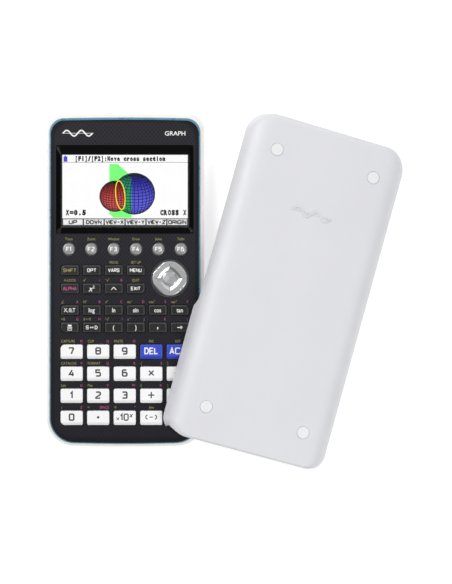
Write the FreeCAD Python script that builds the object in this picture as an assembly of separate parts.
"""Colour-screen graphing calculator with its hard cover, laid on a table. Millimetres.

The calculator lies on its back: +X is to its right, +Y to its screen end and +Z out of its face.
The origin is the middle of its flat back. The hard cover is off, resting on the calculator's right edge
and on the table.
"""

import math
import os

import FreeCAD
import Part

V = FreeCAD.Vector

# ---- calculator body ------------------------------------------------------------------------------
HALF_W = 44.5           # half the overall width
HALF_L = 94.25          # half the overall length
FACE_Z = 17.2           # height of the black face
KEY_TOP_Z = 18.6        # number keys, the highest point of the calculator
FLOOR = 1.6             # wall of the flat back
WALL = 1.8              # side walls
SEAM_Z = 15.4           # where the rear case meets the trim band and the front case
TRIM_Z = 16.5           # top of the trim band
SLACK = 0.05            # gap between parts that sit together
CROWN = 0.45            # how far the two ends bow outwards
PAST = 1.0              # how far a cut runs past what it cuts

# Rear case sections: height, half width, screen end, key end, corner radii at each end
REAR_SECTIONS = (
    (0.0, 41.6, 91.2, 91.4, 6.6, 12.8),
    (0.5, 42.9, 92.5, 92.7, 7.8, 13.9),
    (2.0, 44.0, 93.6, 93.8, 8.7, 14.9),
    (5.0, 44.4, 94.1, 94.2, 9.0, 15.1),
    (9.0, HALF_W, HALF_L, HALF_L, 9.1, 15.2),
    (12.0, 44.2, 93.6, 93.9, 8.9, 15.0),
    (14.2, 43.5, 92.3, 93.2, 8.5, 14.5),
    (SEAM_Z, 42.5, 91.1, 92.5, 8.2, 14.0),
)
CAVITY_CORNERS = (8.2, 15.2)
# Hollow of the rear case, in the same terms
CAVITY_SECTIONS = (
    (FLOOR, 41.3, 91.0, 91.3, *CAVITY_CORNERS),
    (5.0, HALF_W - WALL, HALF_L - WALL, HALF_L - WALL, *CAVITY_CORNERS),
    (11.0, HALF_W - WALL, 92.2, HALF_L - WALL, *CAVITY_CORNERS),
    (SEAM_Z + 1.0, 41.0, 89.3, 90.7, *CAVITY_CORNERS),
)

# Outlines of the front pieces: half width, screen end, key end, corner radii at each end
FACE_OUTLINE = (41.5, 89.65, 91.75, 7.4, 13.4)
FACE_EDGE = ((TRIM_Z + SLACK, 0.0), (16.85, 0.03), (17.1, 0.2), (FACE_Z, 0.5))  # height and inset
TONGUE_OUTLINE = (41.15, 89.1, 91.0, 8.3, 14.2)     # where the front case sits inside the trim band
TRIM_HOLE_OUTLINE = (41.2, 89.15, 91.05, 8.35, 14.25)
TRIM_SECTIONS = (
    (SEAM_Z + SLACK, 42.4, 91.0, 92.45, 8.1, 13.9),
    (SEAM_Z + 0.6, 42.3, 90.85, 92.35, 8.0, 13.8),
    (TRIM_Z, 41.95, 90.35, 92.1, 7.7, 13.7),
)
SKIRT_OUTLINE = (40.6, 88.6, 90.2, 8.0, 13.9)       # rib that locates the front case in the rear case
SKIRT_WALL = 1.0
SKIRT_Z = (13.0, 15.6)

# ---- display --------------------------------------------------------------------------------------
RECESS = (-38.6, 25.6, 38.6, 75.5)      # outer edge of the sloping screen surround
RECESS_CORNER = 3.2
OPENING = (-35.95, 29.25, 35.95, 70.25)  # inner edge of the surround, where the window shows
OPENING_CORNER = 0.8
WINDOW = (-38.2, 27.0, 38.2, 72.6)
WINDOW_Z = (14.75, 15.35)
LCD = (-38.0, 26.4, 38.0, 73.4)
LCD_Z = (13.2, 14.5)
LCD_WALL = 1.2          # edge of the metal frame round the glass
LCD_BACK = 0.4          # back of the metal frame
LCD_CABLE = (24.0, 3.2)  # width and reach of the flat cable's stiffener

# ---- keys -----------------------------------------------------------------------------------------
KEY_GAP = 0.35          # between a cap and its aperture
FLANGE = 0.7            # how far a key's flange reaches past its cap
FLANGE_Z = (14.4, 15.3)
POST_R = 1.5
POST_Z = 13.95          # foot of the post that presses the dome
CAP_WALL = 1.1
CAP_ROOF = 1.9
NEAR_SLOPE = (1.5, 0.75)    # run and drop of a number key's near side
TOP_EDGE = {"number": 0.38, "small": 0.75, "round": 0.8}    # rounding of a cap's top edge
SOFT_CORNER = 0.9       # corner radius between keys of a group
GROUP_CORNER = 2.5      # corner radius at the outside of a group

F_PITCH, F_Y, F_R, F_TOP_Z = 12.56, 17.0, 3.45, 18.35
F_NAMES = ("key_f1", "key_f2", "key_f3", "key_f4", "key_f5", "key_f6")

SMALL_PITCH, SMALL_W, SMALL_H, SMALL_TOP_Z = 12.32, 10.1, 5.6, 18.3
SMALL_ROWS = (
    (5.15, ("key_shift", "key_options", "key_variables", "key_menu")),
    (-5.1, ("key_alpha", "key_square", "key_power", "key_exit")),
    (-17.2, ("key_x_theta_t", "key_log", "key_ln", "key_sin", "key_cos", "key_tan")),
    (-26.9, ("key_fraction", "key_s_to_d", "key_open_bracket", "key_close_bracket", "key_comma",
             "key_store")),
)

NUMBER_PITCH, NUMBER_W, NUMBER_H = 14.87, 12.4, 8.0
NUMBER_ROWS = (
    (-40.5, ("key_7", "key_8", "key_9", "key_delete", "key_on")),
    (-52.87, ("key_4", "key_5", "key_6", "key_multiply", "key_divide")),
    (-65.24, ("key_1", "key_2", "key_3", "key_plus", "key_minus")),
    (-77.6, ("key_0", "key_point", "key_exponent", "key_negative", "key_execute")),
)

# ---- navigation pad -------------------------------------------------------------------------------
PAD = (25.2, 0.55)      # centre
PAD_R = 9.95
PAD_HOLE_R = 10.8       # aperture in the front case
PAD_Z = (15.75, 18.6)
CARRIER_DISC_Z = (14.0, 14.65)
CARRIER_DISC_R = 11.3
CARRIER_RING = (10.2, 10.55, 17.35)     # inner radius, outer radius, top
PIVOT_R = 1.6           # ball on the carrier that the pad rocks on
PIVOT_Z = 14.9
PIVOT_PLAY = 0.08       # between the ball and its socket
PAD_DOME_REACH = 7.4    # from the pad's centre to each of its four domes

# ---- keypad membrane and circuit board ------------------------------------------------------------
BOARD_HALF_W = 36.2
BOARD_Y = (-88.0, 88.0)
BOARD_Z = (11.4, 12.4)
BOARD_CORNER = 5.0
BOARD_ROOM = 0.4        # between the board and the bay's walls
CHIPS = (               # low corner, high corner, depth under the board
    (-17.0, -42.0, -3.0, -28.0, 1.2),
    (6.0, -40.0, 18.0, -31.0, 1.0),
    (-20.0, -62.0, -8.0, -54.0, 1.1),
    (4.0, -60.0, 9.0, -55.0, 0.9),
    (26.0, 30.0, 33.0, 38.0, 1.6),
)
CAPACITOR_R, CAPACITOR_H = 2.0, 4.0
CAPACITOR_PLACES = ((22.0, -50.0), (27.0, -50.0))
POST_PLACES = tuple((side * 30.0, y) for side in (-1, 1) for y in (80.0, 4.0, -84.0)) + (
    (0.0, -84.0), (0.0, 4.0))
BOARD_POST_R = 1.5
SUNK = 0.4              # how far bosses, posts and the bay run into the floor
SHEET_Y = (-86.0, 20.9)
SHEET_Z = (12.45, 12.9)
DOME_TOP_Z = 13.9
DOME_R = (3.0, 1.6)     # foot and crown
DOME_WALL = (0.5, 0.6, 0.4)     # at the foot, at the crown, and over the top

# ---- battery bay ----------------------------------------------------------------------------------
BAY = (-22.2, 22.8, 22.2, 76.6)
BAY_WALL = 1.3
BAY_ROOF_Z = (12.45, 13.1)
CELL_R, CELL_LENGTH, CELL_PITCH = 5.25, 44.5, 10.9
CELL_Z = 1.9 + CELL_R
CELL_Y = 49.7           # middle of the cells
CELL_NOSE = (1.9, 1.3)  # radius and length
CELL_EDGE = 0.5
CONTACT_T, CONTACT_HALF_W = 0.4, 4.6
CONTACT_Z = (2.9, 11.6)
SPRING_WIRE_R = 0.3
SPRING_COIL = (1.15, 3.5, 3.0)  # pitch, length and radius of the wire's middle
HINGE_R = 0.9           # round edge of the battery cover, about its hinge axis
COVER_GAP = 0.2
TAB_X, TAB_HALF_W, TAB_HALF_T, TAB_REACH = 14.0, 3.0, 0.25, 0.6
TAB_SLOT = (3.3, 1.1, 0.3, 2.6)     # half width, reach, low and high edge
NOTCH_R, NOTCH_DEPTH = 2.0, 0.9     # finger notch at the lid's free end
NOTCH_INSET = 0.4
GRIP_HALF_W, GRIP_W, GRIP_DEPTH = 6.0, 0.7, 0.25
GRIP_INSETS = (6.0, 4.6, 3.2)       # of the lid's three grip lines, from its free end

# ---- fasteners ------------------------------------------------------------------------------------
SCREW_PLACES = tuple((side * 38.6, y) for side in (-1, 1) for y in (82.5, 8.0, -80.0))
SCREW_SHANK_R, SCREW_HEAD_R = 0.95, 1.75
SCREW_HEAD_Z, SCREW_END_Z = (0.7, 1.95), 13.6
SCREW_HEAD_EDGE = 0.35
CROSS_HALF, CROSS_T, CROSS_END_Z = 1.1, 0.4, 1.4    # of the cross in a screw's head
FRONT_BOSS_R, REAR_BOSS_R, BOSS_SPLIT_Z = 1.9, 2.6, 7.0
HEAD_ROOM, SHANK_ROOM = 0.25, 0.15      # round a screw in the rear case

# ---- ports at the screen end ----------------------------------------------------------------------
USB_X, JACK_X = 9.0, -9.0
USB_SIZE = (7.7, 8.2, 3.9)
JACK_SIZE = (6.0, 8.2, 5.0)
USB_END_Y = 93.2
JACK_END_Y = 91.5       # end of the jack's square body, inside the wall
JACK_NOSE = (2.9, 2.3)  # radius and length of the round nose that reaches through the wall
JACK_DEPTH = 9.3        # of the plug's bore, from the tip of the nose
JACK_HOLE_R = 1.3
PORT_ROOM, JACK_ROOM = 0.3, 0.4     # round the ports in the rear case
PORT_CUT_Y = (88.0, 96.0)
USB_SKIN = 0.4
USB_TONGUE = (2.4, 1.4, 2.3, 1.5)   # half width, upper and lower face under the board, set back
RESET_HOLE = (30.0, -60.0, 0.9)     # place and radius

# ---- hard cover, in its own frame: u across, v along, w out of its face --------------------------
COVER_HALF_L = 93.5
COVER_FLAT = 35.0       # half width of the flat face
COVER_ROLL = (12.0, 10.5)   # width and depth of the rolled sides
COVER_ROLL_END = 75     # degrees of the roll before the straight skirt
COVER_SKIN = 1.7
COVER_DEPTH = 13.8      # at the open end, where the rails are
COVER_SHALLOW = 9.7     # beside the closed end
COVER_SKIRT_FLARE = 1.6  # how far the skirt spreads below the roll
STEP_V = (-24.5, -15.5)  # where the skirt changes depth
CLOSED_CORNER, OPEN_CORNER = 13.5, 9.5
CLOSED_ROLL, OPEN_ROLL = 3.0, 1.2
FACE_CORNER = (3.0, 2.5)    # of the flat face, at the closed and the open end
HOLLOW_CORNER = 2.0
END_WALL = (2.6, 2.0)   # of the closed end, at the face and at the skirt's edge
RAIL_V = (-88.0, -30.0)
RAIL_W = (-13.6, -12.4)
RAIL_U = 44.05
RAIL_ROOT = 45.6        # where the rails are well inside the skirt
GROOVE_Z = (7.0, 8.6)
GROOVE_X = 43.7
GROOVE_END_Y = -88.0
FOOT_R, FOOT_SUNK, FOOT_PROUD = 3.45, 0.7, 0.25
FOOT_EDGE, FOOT_ROOM = 0.2, 0.15
FOOT_PLACES = tuple((u, v) for u in (-28.7, 28.7) for v in (-74.2, 74.2))

# How the loose cover lies: turned on the table, left side up on the calculator, closed end down
COVER_TURN, COVER_LEAN, COVER_DIP = -15.7, 11.4, -1.3
COVER_CENTRE = (92.6, -6.8)


# ---- shape helpers --------------------------------------------------------------------------------
def corner(centre, radius, start, z):
    """A quarter circle, anticlockwise from the start angle in degrees."""
    points = []
    for turn in (0, 45, 90):
        a = math.radians(start + turn)
        points.append(V(centre[0] + radius * math.cos(a), centre[1] + radius * math.sin(a), z))
    return Part.Arc(*points).toShape()


def rounded_wire(box, radii, z, crown=0.0):
    """A rectangle with its own radius at each corner: low left, low right, high right, high left.

    With a crown its low and high sides bow outwards by that much.
    """
    x0, y0, x1, y1 = box
    places = ((x0, y0, 1, 1), (x1, y0, -1, 1), (x1, y1, -1, -1), (x0, y1, 1, -1))
    arcs = []
    for n, (x, y, sx, sy) in enumerate(places):
        r = radii[n]
        arcs.append(corner((x + sx * r, y + sy * r), r, 180 + 90 * n, z))
    edges = []
    for n, arc in enumerate(arcs):
        after = arcs[(n + 1) % 4]
        start, end = arc.lastVertex().Point, after.firstVertex().Point
        edges.append(arc)
        if crown and n % 2 == 0:
            bow = V(0, crown * (n - 1), 0)
            edges.append(Part.Arc(start, (start + end) / 2 + bow, end).toShape())
        else:
            edges.append(Part.makeLine(start, end))
    return Part.Wire(edges)


def even(radius):
    return (radius,) * 4


def prism(box, radii, z0, z1):
    """A rounded rectangle pulled up from z0 to z1."""
    return Part.Face(rounded_wire(box, radii, z0)).extrude(V(0, 0, z1 - z0))


def block(x0, y0, z0, x1, y1, z1):
    return Part.makeBox(x1 - x0, y1 - y0, z1 - z0, V(x0, y0, z0))


def rod(radius, x, y, z0, z1):
    return Part.makeCylinder(radius, z1 - z0, V(x, y, z0))


def joined(shapes):
    """One solid from shapes that touch."""
    first, rest = shapes[0], shapes[1:]
    whole = first.multiFuse(rest) if rest else first
    return whole.removeSplitter()


def grown(box, by):
    return (box[0] - by, box[1] - by, box[2] + by, box[3] + by)


def section(z, half_w, top, bottom, r_top, r_bottom):
    """One level of the calculator's outline, its ends measured at the middle of their bow."""
    box = (-half_w, CROWN - bottom, half_w, top - CROWN)
    return rounded_wire(box, (r_bottom, r_bottom, r_top, r_top), z, CROWN)


def save(name, shape):
    solids = shape.Solids
    out = solids[0] if len(solids) == 1 else Part.makeCompound(solids)
    out.exportStep(f"parts/{name}.step")
    print(f"{name}: {len(solids)} solid(s), {sum(s.Volume for s in solids) / 1000:.2f} cm3")


# ---- where every key is ---------------------------------------------------------------------------
def centred(x, y, w, h):
    return (x - w / 2, y - h / 2, x + w / 2, y + h / 2)


def group_radii(column, row, columns, rows):
    """Corner radii of a key, larger at the outside corners of its group."""
    first, last = column == 0, column == columns - 1
    top, bottom = row == 0, row == rows - 1
    outside = (first and bottom, last and bottom, last and top, first and top)
    return tuple(GROUP_CORNER if big else SOFT_CORNER for big in outside)


def key_table():
    """Every rectangular key: name, centre, size, corner radii, top height."""
    keys = []
    for row, (y, names) in enumerate(SMALL_ROWS):
        group_row = row % 2
        for column, name in enumerate(names):
            x = (column - 2.5) * SMALL_PITCH
            radii = group_radii(column, group_row, len(names), 2)
            keys.append((name, x, y, SMALL_W, SMALL_H, radii, SMALL_TOP_Z))
    for row, (y, names) in enumerate(NUMBER_ROWS):
        for column, name in enumerate(names):
            x = (column - 2) * NUMBER_PITCH
            radii = group_radii(column, row, len(names), len(NUMBER_ROWS))
            keys.append((name, x, y, NUMBER_W, NUMBER_H, radii, KEY_TOP_Z))
    return keys


KEYS = key_table()
F_KEYS = [(name, (n - 2.5) * F_PITCH) for n, name in enumerate(F_NAMES)]


# ---- housing --------------------------------------------------------------------------------------
def screw_holes():
    """Counterbores and shank holes through the flat back."""
    holes = []
    for x, y in SCREW_PLACES:
        holes.append(rod(SCREW_HEAD_R + HEAD_ROOM, x, y, -PAST, 2.0))
        holes.append(rod(SCREW_SHANK_R + SHANK_ROOM, x, y, -PAST, BOSS_SPLIT_Z + PAST))
    return holes


def cover_grooves():
    """The long grooves in both sides, open at the screen end, that the hard cover's rails run in."""
    grooves = []
    for side in (-1, 1):
        inside, outside = sorted((side * GROOVE_X, side * (HALF_W + PAST)))
        grooves.append(block(inside, GROOVE_END_Y, GROOVE_Z[0], outside, HALF_L + PAST, GROOVE_Z[1]))
    return grooves


def port_holes():
    """A square hole for the USB socket and a round one for the data jack."""
    top = BOARD_Z[0] - SLACK
    w, _, h = USB_SIZE
    half = w / 2 + PORT_ROOM
    y0, y1 = PORT_CUT_Y
    square = block(USB_X - half, y0, top - h - PORT_ROOM, USB_X + half, y1, top + PORT_ROOM)
    jack_z = top - JACK_SIZE[2] / 2
    round_hole = Part.makeCylinder(JACK_NOSE[0] + JACK_ROOM, y1 - y0, V(JACK_X, y0, jack_z), V(0, 1, 0))
    return [square, round_hole]


def lid_seat():
    """The bay's opening in the back, a notch for a fingertip and two slots for the lid's tabs."""
    x0, y0, x1, y1 = BAY
    half, reach, low, high = TAB_SLOT
    cuts = [
        block(x0, y0, -PAST, x1, y1, BAY_ROOF_Z[0]),
        rod(NOTCH_R, 0.0, y1 - NOTCH_INSET, -PAST, NOTCH_DEPTH),
    ]
    for side in (-1, 1):
        x = side * TAB_X
        cuts.append(block(x - half, y0 - reach, low, x + half, y0 + SLACK, high))
    return cuts


def rear_case():
    outer = Part.makeLoft([section(*s) for s in REAR_SECTIONS], True, False)
    inner = Part.makeLoft([section(*s) for s in CAVITY_SECTIONS], True, True)
    shell = outer.cut(inner)
    root = FLOOR - SUNK
    bosses = [rod(REAR_BOSS_R, x, y, root, BOSS_SPLIT_Z) for x, y in SCREW_PLACES]
    posts = [rod(BOARD_POST_R, x, y, root, BOARD_Z[0] - SLACK) for x, y in POST_PLACES]
    x0, y0, x1, y1 = grown(BAY, BAY_WALL)
    whole = joined([shell, *bosses, *posts, block(x0, y0, root, x1, y1, BAY_ROOF_Z[1])])
    x, y, r = RESET_HOLE
    cuts = [*lid_seat(), *screw_holes(), *cover_grooves(), *port_holes(), rod(r, x, y, -PAST, FLOOR + PAST)]
    return whole.cut(Part.makeCompound(cuts))


def trim_band():
    outer = Part.makeLoft([section(*s) for s in TRIM_SECTIONS], True, False)
    hole = Part.Face(section(SEAM_Z - PAST, *TRIM_HOLE_OUTLINE))
    return outer.cut(hole.extrude(V(0, 0, TRIM_Z - SEAM_Z + 2 * PAST)))


def shrunk(outline, by):
    """An outline drawn in by the same distance all round."""
    return tuple(size - by for size in outline)


def locating_skirt():
    """The thin rib under the front case that drops inside the rear case's walls."""
    low, high = SKIRT_Z
    outside = Part.Face(section(low, *SKIRT_OUTLINE)).extrude(V(0, 0, high - low))
    inside = Part.Face(section(low - PAST, *shrunk(SKIRT_OUTLINE, SKIRT_WALL)))
    return outside.cut(inside.extrude(V(0, 0, high - low + 2 * PAST)))


def screen_recess():
    """Four sloping sides from the face down to the window."""
    return Part.makeLoft(
        [
            rounded_wire(OPENING, even(OPENING_CORNER), SEAM_Z - 0.1),
            rounded_wire(grown(OPENING, 0.12), even(OPENING_CORNER + 0.1), SEAM_Z + 0.15),
            rounded_wire(RECESS, even(RECESS_CORNER), FACE_Z - 0.02),
            rounded_wire(grown(RECESS, 0.05), even(RECESS_CORNER + 0.05), FACE_Z + 0.2),
        ],
        True,
        True,
    )


def front_case():
    tongue = Part.Face(section(SEAM_Z, *TONGUE_OUTLINE)).extrude(V(0, 0, TRIM_Z + SLACK - SEAM_Z))
    plate = Part.makeLoft([section(z, *shrunk(FACE_OUTLINE, inset)) for z, inset in FACE_EDGE], True, False)
    bosses = [rod(FRONT_BOSS_R, x, y, BOSS_SPLIT_Z + SLACK, SEAM_Z + 0.5) for x, y in SCREW_PLACES]
    whole = joined([tongue, plate, locating_skirt(), *bosses])
    low, high = SEAM_Z - PAST, FACE_Z + PAST
    cuts = [screen_recess(), rod(PAD_HOLE_R, *PAD, low, high)]
    for _, x, y, w, h, radii, _ in KEYS:
        wider = tuple(r + KEY_GAP for r in radii)
        cuts.append(prism(grown(centred(x, y, w, h), KEY_GAP), wider, low, high))
    for _, x in F_KEYS:
        cuts.append(rod(F_R + KEY_GAP, x, F_Y, low, high))
    for x, y in SCREW_PLACES:
        cuts.append(rod(SCREW_SHANK_R + SLACK, x, y, BOSS_SPLIT_Z - PAST, SCREW_END_Z + 0.6))
    return whole.cut(Part.makeCompound(cuts))


# ---- keys -----------------------------------------------------------------------------------------
def top_edges(shape, z):
    """Edges of a cap that lie at or above z, apart from upright ones."""
    found = []
    for edge in shape.Edges:
        low, high = edge.BoundBox.ZMin, edge.BoundBox.ZMax
        if low > z and not (high - low > 0.3 and edge.BoundBox.XLength < 0.01
                            and edge.BoundBox.YLength < 0.01):
            found.append(edge)
    return found


def key_body(cap, flange, hollow, x, y):
    """A cap with its flange, hollow underneath but for the post that presses the dome."""
    post = rod(POST_R, x, y, POST_Z, hollow.BoundBox.ZMax + 0.3)
    return joined([joined([cap, flange]).cut(hollow), post])


def near_slope(plan, top, run, drop):
    """The wedge that a cap's near side leaves out, sloping down to the fingertip."""
    x0, y0, x1, _ = plan
    foot = top - drop - drop / run * PAST
    outline = ((y0 - PAST, foot), (y0 + run, top), (y0 + run, top + PAST), (y0 - PAST, top + PAST))
    points = [V(x0 - PAST, y, z) for y, z in (*outline, outline[0])]
    return Part.Face(Part.makePolygon(points)).extrude(V(x1 - x0 + 2 * PAST, 0, 0))


def rectangular_key(x, y, w, h, radii, top):
    plan = centred(x, y, w, h)
    cap = prism(plan, radii, FLANGE_Z[0], top)
    if h == NUMBER_H:
        run, drop = NEAR_SLOPE
        cap = cap.cut(near_slope(plan, top, run, drop))
        cap = cap.makeFillet(TOP_EDGE["number"], top_edges(cap, top - drop - 0.05))
    else:
        cap = cap.makeFillet(TOP_EDGE["small"], top_edges(cap, top - 0.05))
    flange_radii = tuple(r + 0.3 for r in radii)
    flange = prism(grown(plan, FLANGE), flange_radii, *FLANGE_Z)
    inner_radii = tuple(max(r - CAP_WALL, 0.4) for r in radii)
    hollow = prism(grown(plan, -CAP_WALL), inner_radii, FLANGE_Z[0] - PAST, top - CAP_ROOF)
    return key_body(cap, flange, hollow, x, y)


def round_key(x):
    cap = rod(F_R, x, F_Y, FLANGE_Z[0], F_TOP_Z)
    cap = cap.makeFillet(TOP_EDGE["round"], top_edges(cap, F_TOP_Z - 0.05))
    flange = rod(F_R + FLANGE, x, F_Y, *FLANGE_Z)
    hollow = rod(F_R - CAP_WALL, x, F_Y, FLANGE_Z[0] - PAST, F_TOP_Z - CAP_ROOF)
    return key_body(cap, flange, hollow, x, F_Y)


def nav_carrier():
    """Black ring and disc under the pad, with the ball that the pad rocks on."""
    x, y = PAD
    inner_r, outer_r, top = CARRIER_RING
    disc = rod(CARRIER_DISC_R, x, y, *CARRIER_DISC_Z)
    ring = rod(outer_r, x, y, CARRIER_DISC_Z[0], top).cut(rod(inner_r, x, y, 0, top + PAST))
    ball = Part.makeSphere(PIVOT_R, V(x, y, PIVOT_Z))
    ball = ball.common(rod(CARRIER_DISC_R, x, y, CARRIER_DISC_Z[0] + 0.2, top))
    return joined([disc, ring, ball])


def nav_pad():
    """Round pad, dished in the middle and rolled at its rim, with a socket for the ball."""
    x, y = PAD
    low, high = PAD_Z
    outline = [
        (PAD_R - 0.1, low), (PAD_R, low + 0.3), (PAD_R, high - 1.5),
        (PAD_R - 0.5, high - 0.7), (PAD_R - 1.5, high - 0.15), (PAD_R - 2.6, high),
        (PAD_R - 4.4, high - 0.35), (4.2, high - 0.95), (3.9, high - 0.75), (0.0, high - 0.55),
        (0.0, low),
    ]
    points = [V(x + r, y, z) for r, z in (*outline, outline[0])]
    pad = Part.Face(Part.makePolygon(points)).revolve(V(x, y, 0), V(0, 0, 1), 360)
    return pad.cut(Part.makeSphere(PIVOT_R + PIVOT_PLAY, V(x, y, PIVOT_Z)))


# ---- inside ---------------------------------------------------------------------------------------
def dome_places():
    places = [(x, y) for _, x, y, *_ in KEYS] + [(x, F_Y) for _, x in F_KEYS]
    for quarter in range(4):
        a = math.radians(90 * quarter)
        places.append((PAD[0] + PAD_DOME_REACH * math.cos(a), PAD[1] + PAD_DOME_REACH * math.sin(a)))
    return places


def keypad_membrane():
    """Rubber sheet with a hollow dome under every key and four under the pad."""
    sheet = prism((-BOARD_HALF_W, SHEET_Y[0], BOARD_HALF_W, SHEET_Y[1]), even(3.0), *SHEET_Z)
    rise = DOME_TOP_Z - SHEET_Z[0]
    foot_wall, crown_wall, roof = DOME_WALL
    domes, hollows = [], []
    for x, y in dome_places():
        domes.append(Part.makeCone(DOME_R[0], DOME_R[1], rise, V(x, y, SHEET_Z[0])))
        hollows.append(Part.makeCone(DOME_R[0] - foot_wall, DOME_R[1] - crown_wall, rise - roof,
                                     V(x, y, SHEET_Z[0] - 0.01)))
    return joined([sheet, *domes]).cut(Part.makeCompound(hollows))


def port(x, end_y, size):
    """The body of a connector that hangs under the board with its mouth at the screen end."""
    w, depth, h = size
    return block(x - w / 2, end_y - depth, BOARD_Z[0] - h, x + w / 2, end_y, BOARD_Z[0])


def usb_port():
    """Metal shell and tongue of the small USB socket."""
    w, depth, h = USB_SIZE
    top, back = BOARD_Z[0], USB_END_Y - depth + 1.0
    half = w / 2 - USB_SKIN
    hollow = block(USB_X - half, back, top - h + USB_SKIN, USB_X + half, USB_END_Y + PAST, top - USB_SKIN)
    half, upper, lower, set_back = USB_TONGUE
    tongue = block(USB_X - half, back, top - lower, USB_X + half, USB_END_Y - set_back, top - upper)
    return [port(USB_X, USB_END_Y, USB_SIZE).cut(hollow), tongue]


def data_jack():
    """Square body with a round nose, bored for a 2.5 mm plug."""
    z = BOARD_Z[0] - JACK_SIZE[2] / 2
    along = V(0, 1, 0)
    radius, length = JACK_NOSE
    nose = Part.makeCylinder(radius, length + SUNK, V(JACK_X, JACK_END_Y - SUNK, z), along)
    mouth_y = JACK_END_Y + length
    bore = Part.makeCylinder(JACK_HOLE_R, JACK_DEPTH + PAST, V(JACK_X, mouth_y - JACK_DEPTH, z), along)
    return joined([port(JACK_X, JACK_END_Y, JACK_SIZE), nose]).cut(bore)


def main_board():
    """Circuit board around the battery bay, with its chips and the two ports."""
    board = prism((-BOARD_HALF_W, BOARD_Y[0], BOARD_HALF_W, BOARD_Y[1]), even(BOARD_CORNER), *BOARD_Z)
    x0, y0, x1, y1 = grown(BAY, BAY_WALL + BOARD_ROOM)
    board = board.cut(block(x0, y0, BOARD_Z[0] - PAST, x1, y1, BOARD_Z[1] + PAST))
    under = BOARD_Z[0]
    chips = [block(x0, y0, under - depth, x1, y1, under) for x0, y0, x1, y1, depth in CHIPS]
    capacitors = [rod(CAPACITOR_R, x, y, under - CAPACITOR_H, under) for x, y in CAPACITOR_PLACES]
    return Part.makeCompound([board, *chips, *capacitors, *usb_port(), data_jack()])


def lcd_module():
    """Metal frame, glass and the flat cable's stiffener."""
    low, high = LCD_Z
    inside = low + LCD_BACK
    frame = prism(LCD, even(0.8), low, high)
    frame = frame.cut(prism(grown(LCD, -LCD_WALL), even(0.4), inside, high + PAST))
    glass = prism(grown(LCD, -LCD_WALL - SLACK), even(0.4), inside, high - SLACK)
    width, reach = LCD_CABLE
    cable = block(-width / 2, LCD[1] - reach, low + 0.1, width / 2, LCD[1], inside)
    return Part.makeCompound([frame, glass, cable])


def display_window():
    return prism(WINDOW, even(1.5), *WINDOW_Z)


def cell_x(n):
    return (n - 1.5) * CELL_PITCH


def batteries():
    """Four cells side by side, alternate ones turned round."""
    cells = []
    for n in range(4):
        way = 1 if n % 2 == 0 else -1
        start = V(cell_x(n), CELL_Y - way * CELL_LENGTH / 2, CELL_Z)
        along = V(0, way, 0)
        can = Part.makeCylinder(CELL_R, CELL_LENGTH - 1.0, start, along)
        rims = [edge for edge in can.Edges if edge.Length > 3 * CELL_R and edge.BoundBox.YLength < 0.01]
        can = can.makeFillet(CELL_EDGE, rims)
        radius, length = CELL_NOSE
        nose = Part.makeCylinder(radius, length, start + along * (CELL_LENGTH - length), along)
        cells.append(joined([can, nose]))
    return Part.makeCompound(cells)


def spring(x, y, way):
    """Coil spring that presses on the flat end of a cell."""
    helix = Part.makeHelix(*SPRING_COIL)
    wire = Part.Wire(helix.Edges)
    start = wire.Edges[0].firstVertex().Point
    tangent = wire.Edges[0].tangentAt(wire.Edges[0].FirstParameter)
    profile = Part.Wire([Part.Circle(start, tangent, SPRING_WIRE_R).toShape()])
    coil = Part.Wire(wire).makePipeShell([profile], True, False)
    coil.rotate(V(0, 0, 0), V(1, 0, 0), -90 * way)
    coil.translate(V(x, y, CELL_Z))
    return coil


def battery_contacts():
    """Plates at both ends of the bay and a spring for each cell's flat end."""
    low, high = BAY[1] + SLACK, BAY[3] - SLACK
    pieces = []
    for n in range(4):
        way = 1 if n % 2 == 0 else -1
        x = cell_x(n)
        for y0, inward in ((low, 1), (high - CONTACT_T, -1)):
            pieces.append(block(x - CONTACT_HALF_W, y0, CONTACT_Z[0], x + CONTACT_HALF_W, y0 + CONTACT_T,
                                CONTACT_Z[1]))
        flat_end = low + CONTACT_T if way == 1 else high - CONTACT_T
        pieces.append(spring(x, flat_end + way * SPRING_WIRE_R, way))
    return Part.makeCompound(pieces)


def battery_cover():
    """Lid of the bay: round hinge edge with two tabs, finger notch at the other end."""
    x0, y0, x1, y1 = grown(BAY, -COVER_GAP)
    axis_y = y0 + HINGE_R
    plate = block(x0, axis_y, 0.0, x1, y1, 2 * HINGE_R)
    edge = Part.makeCylinder(HINGE_R, x1 - x0, V(x0, axis_y, HINGE_R), V(1, 0, 0))
    tabs = []
    for side in (-1, 1):
        x = side * TAB_X
        tabs.append(block(x - TAB_HALF_W, BAY[1] - TAB_REACH, HINGE_R - TAB_HALF_T,
                          x + TAB_HALF_W, axis_y, HINGE_R + TAB_HALF_T))
    cuts = [rod(NOTCH_R, 0.0, BAY[3] - NOTCH_INSET, -PAST, NOTCH_DEPTH)]
    for inset in GRIP_INSETS:
        y = BAY[3] - inset
        cuts.append(block(-GRIP_HALF_W, y, -PAST, GRIP_HALF_W, y + GRIP_W, GRIP_DEPTH))
    return joined([plate, edge, *tabs]).cut(Part.makeCompound(cuts))


def case_screws():
    """Six cross-head screws from the back."""
    low, high = SCREW_HEAD_Z
    screws = []
    for x, y in SCREW_PLACES:
        head = rod(SCREW_HEAD_R, x, y, low, high)
        head = head.makeFillet(SCREW_HEAD_EDGE, [e for e in head.Edges if e.BoundBox.ZMax < low + 0.05])
        shank = rod(SCREW_SHANK_R, x, y, high - 0.05, SCREW_END_Z)
        cross = []
        for half_x, half_y in ((CROSS_HALF, CROSS_T / 2), (CROSS_T / 2, CROSS_HALF)):
            cross.append(block(x - half_x, y - half_y, 0, x + half_x, y + half_y, CROSS_END_Z))
        screws.append(joined([head, shank]).cut(Part.makeCompound(cross)))
    return Part.makeCompound(screws)


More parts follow.
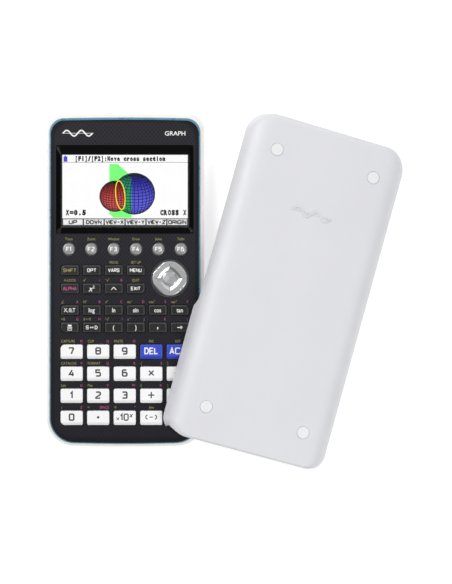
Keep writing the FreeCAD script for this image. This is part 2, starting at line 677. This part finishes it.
# ---- hard cover -----------------------------------------------------------------------------------
def cover_section(half_u, closed_v, open_v, w, r_closed, r_open):
    return rounded_wire((-half_u, -open_v, half_u, closed_v), (r_open, r_open, r_closed, r_closed), w)


def cover_outside():
    """Rolled sides, small rolls at the ends, then a flaring skirt."""
    wide, deep = COVER_ROLL
    levels = []
    for turn in range(0, COVER_ROLL_END + 1, 15):
        a = math.radians(turn)
        half_u = COVER_FLAT + wide * math.sin(a)
        w = -deep * (1 - math.cos(a))
        end = math.sin(min(a * 2.0, math.pi / 2))
        share = math.sin(a)
        closed, opened = FACE_CORNER
        levels.append(cover_section(
            half_u, COVER_HALF_L - CLOSED_ROLL * (1 - end), COVER_HALF_L - OPEN_ROLL * (1 - end), w,
            closed + (CLOSED_CORNER - closed) * share, opened + (OPEN_CORNER - opened) * share))
    rolled_w = -deep * (1 - math.cos(math.radians(COVER_ROLL_END)))
    rolled_u = COVER_FLAT + wide * math.sin(math.radians(COVER_ROLL_END))
    for share in (0.5, 1.0):
        w = rolled_w + (-COVER_DEPTH - rolled_w) * share
        levels.append(cover_section(rolled_u + COVER_SKIRT_FLARE * share, COVER_HALF_L + 0.3 * share,
                                    COVER_HALF_L, w, CLOSED_CORNER, OPEN_CORNER))
    return Part.makeLoft(levels, True, False)


def cover_inside():
    """The hollow, open through the key end so that the calculator slides in."""
    wide, deep = COVER_ROLL[0] - COVER_SKIN, COVER_ROLL[1] - COVER_SKIN
    past_end = COVER_HALF_L + 20
    levels = []
    for turn in range(0, COVER_ROLL_END + 1, 15):
        a = math.radians(turn)
        w = -COVER_SKIN - deep * (1 - math.cos(a))
        closed = HOLLOW_CORNER + (CLOSED_CORNER - 2 * HOLLOW_CORNER) * math.sin(a)
        levels.append(cover_section(COVER_FLAT + wide * math.sin(a), COVER_HALF_L - END_WALL[0], past_end, w,
                                    closed, HOLLOW_CORNER))
    widest = COVER_FLAT + wide * math.sin(math.radians(COVER_ROLL_END)) + 0.25
    levels.append(cover_section(widest, COVER_HALF_L - END_WALL[1], past_end, -COVER_DEPTH - 2 * PAST,
                                CLOSED_CORNER - HOLLOW_CORNER, HOLLOW_CORNER))
    return Part.makeLoft(levels, True, True)


def skirt_trim():
    """What the shallow skirt leaves out beside the closed end, with a smooth step."""
    v0, v1 = STEP_V
    low, deep, high = -COVER_DEPTH - 3 * PAST, -COVER_DEPTH - 0.5, -COVER_SHALLOW
    reach, end_v = HALF_W + 15, COVER_HALF_L + 10
    pull = (v1 - v0) / 2.2      # how far the step's curve leaves its ends level
    poles = ((v0, deep), (v0 + pull, deep), (v1 - pull, high), (v1, high))
    curve = Part.BezierCurve()
    curve.setPoles([V(-reach, v, w) for v, w in poles])
    corners = [V(-reach, v, w) for v, w in ((v1, high), (end_v, high), (end_v, low), (v0, low), (v0, deep))]
    sides = [Part.makeLine(start, end) for start, end in zip(corners, corners[1:])]
    return Part.Face(Part.Wire([curve.toShape(), *sides])).extrude(V(2 * reach, 0, 0))


def laid_down(shape, lift=0.0):
    """Moves a shape from the cover's own frame to where the loose cover lies."""
    turn = FreeCAD.Rotation(V(0, 0, 1), COVER_TURN)
    lean = FreeCAD.Rotation(V(0, 1, 0), COVER_LEAN)
    dip = FreeCAD.Rotation(V(1, 0, 0), COVER_DIP)
    placed = shape.copy()
    placed.Placement = FreeCAD.Placement(
        V(*COVER_CENTRE, lift), turn.multiply(lean).multiply(dip)
    ).multiply(placed.Placement)
    return placed


def hard_cover():
    """Shell with two inside rails at the open end, and four round feet sunk in its face."""
    shell = cover_outside().cut(cover_inside()).cut(skirt_trim())
    rails = []
    for side in (-1, 1):
        u0, u1 = sorted((side * RAIL_U, side * RAIL_ROOT))
        rails.append(block(u0, RAIL_V[0], RAIL_W[0], u1, RAIL_V[1], RAIL_W[1]))
    shell = joined([shell, *rails])
    sockets = [rod(FOOT_R + FOOT_ROOM, u, v, -FOOT_SUNK, PAST) for u, v in FOOT_PLACES]
    shell = shell.cut(Part.makeCompound(sockets))
    feet = []
    for u, v in FOOT_PLACES:
        foot = rod(FOOT_R, u, v, -FOOT_SUNK, FOOT_PROUD)
        rim = [edge for edge in foot.Edges if edge.BoundBox.ZMin > FOOT_PROUD / 2]
        feet.append(foot.makeFillet(FOOT_EDGE, rim))
    whole = Part.makeCompound([shell, *feet])
    lift = -laid_down(shell).optimalBoundingBox(False, False).ZMin
    return laid_down(whole, lift), lift


def main():
    os.makedirs("parts", exist_ok=True)
    save("rear_case", rear_case())
    save("trim_band", trim_band())
    save("front_case", front_case())
    save("display_window", display_window())
    save("lcd_module", lcd_module())
    save("main_board", main_board())
    save("keypad_membrane", keypad_membrane())
    save("batteries", batteries())
    save("battery_contacts", battery_contacts())
    save("battery_cover", battery_cover())
    save("case_screws", case_screws())
    cover, lift = hard_cover()
    save("hard_cover", cover)
    print(f"hard cover's face centre is {lift:.3f} above the table")
    for name, x, y, w, h, radii, top in KEYS:
        save(name, rectangular_key(x, y, w, h, radii, top))
    for name, x in F_KEYS:
        save(name, round_key(x))
    save("nav_carrier", nav_carrier())
    save("nav_pad", nav_pad())


main()
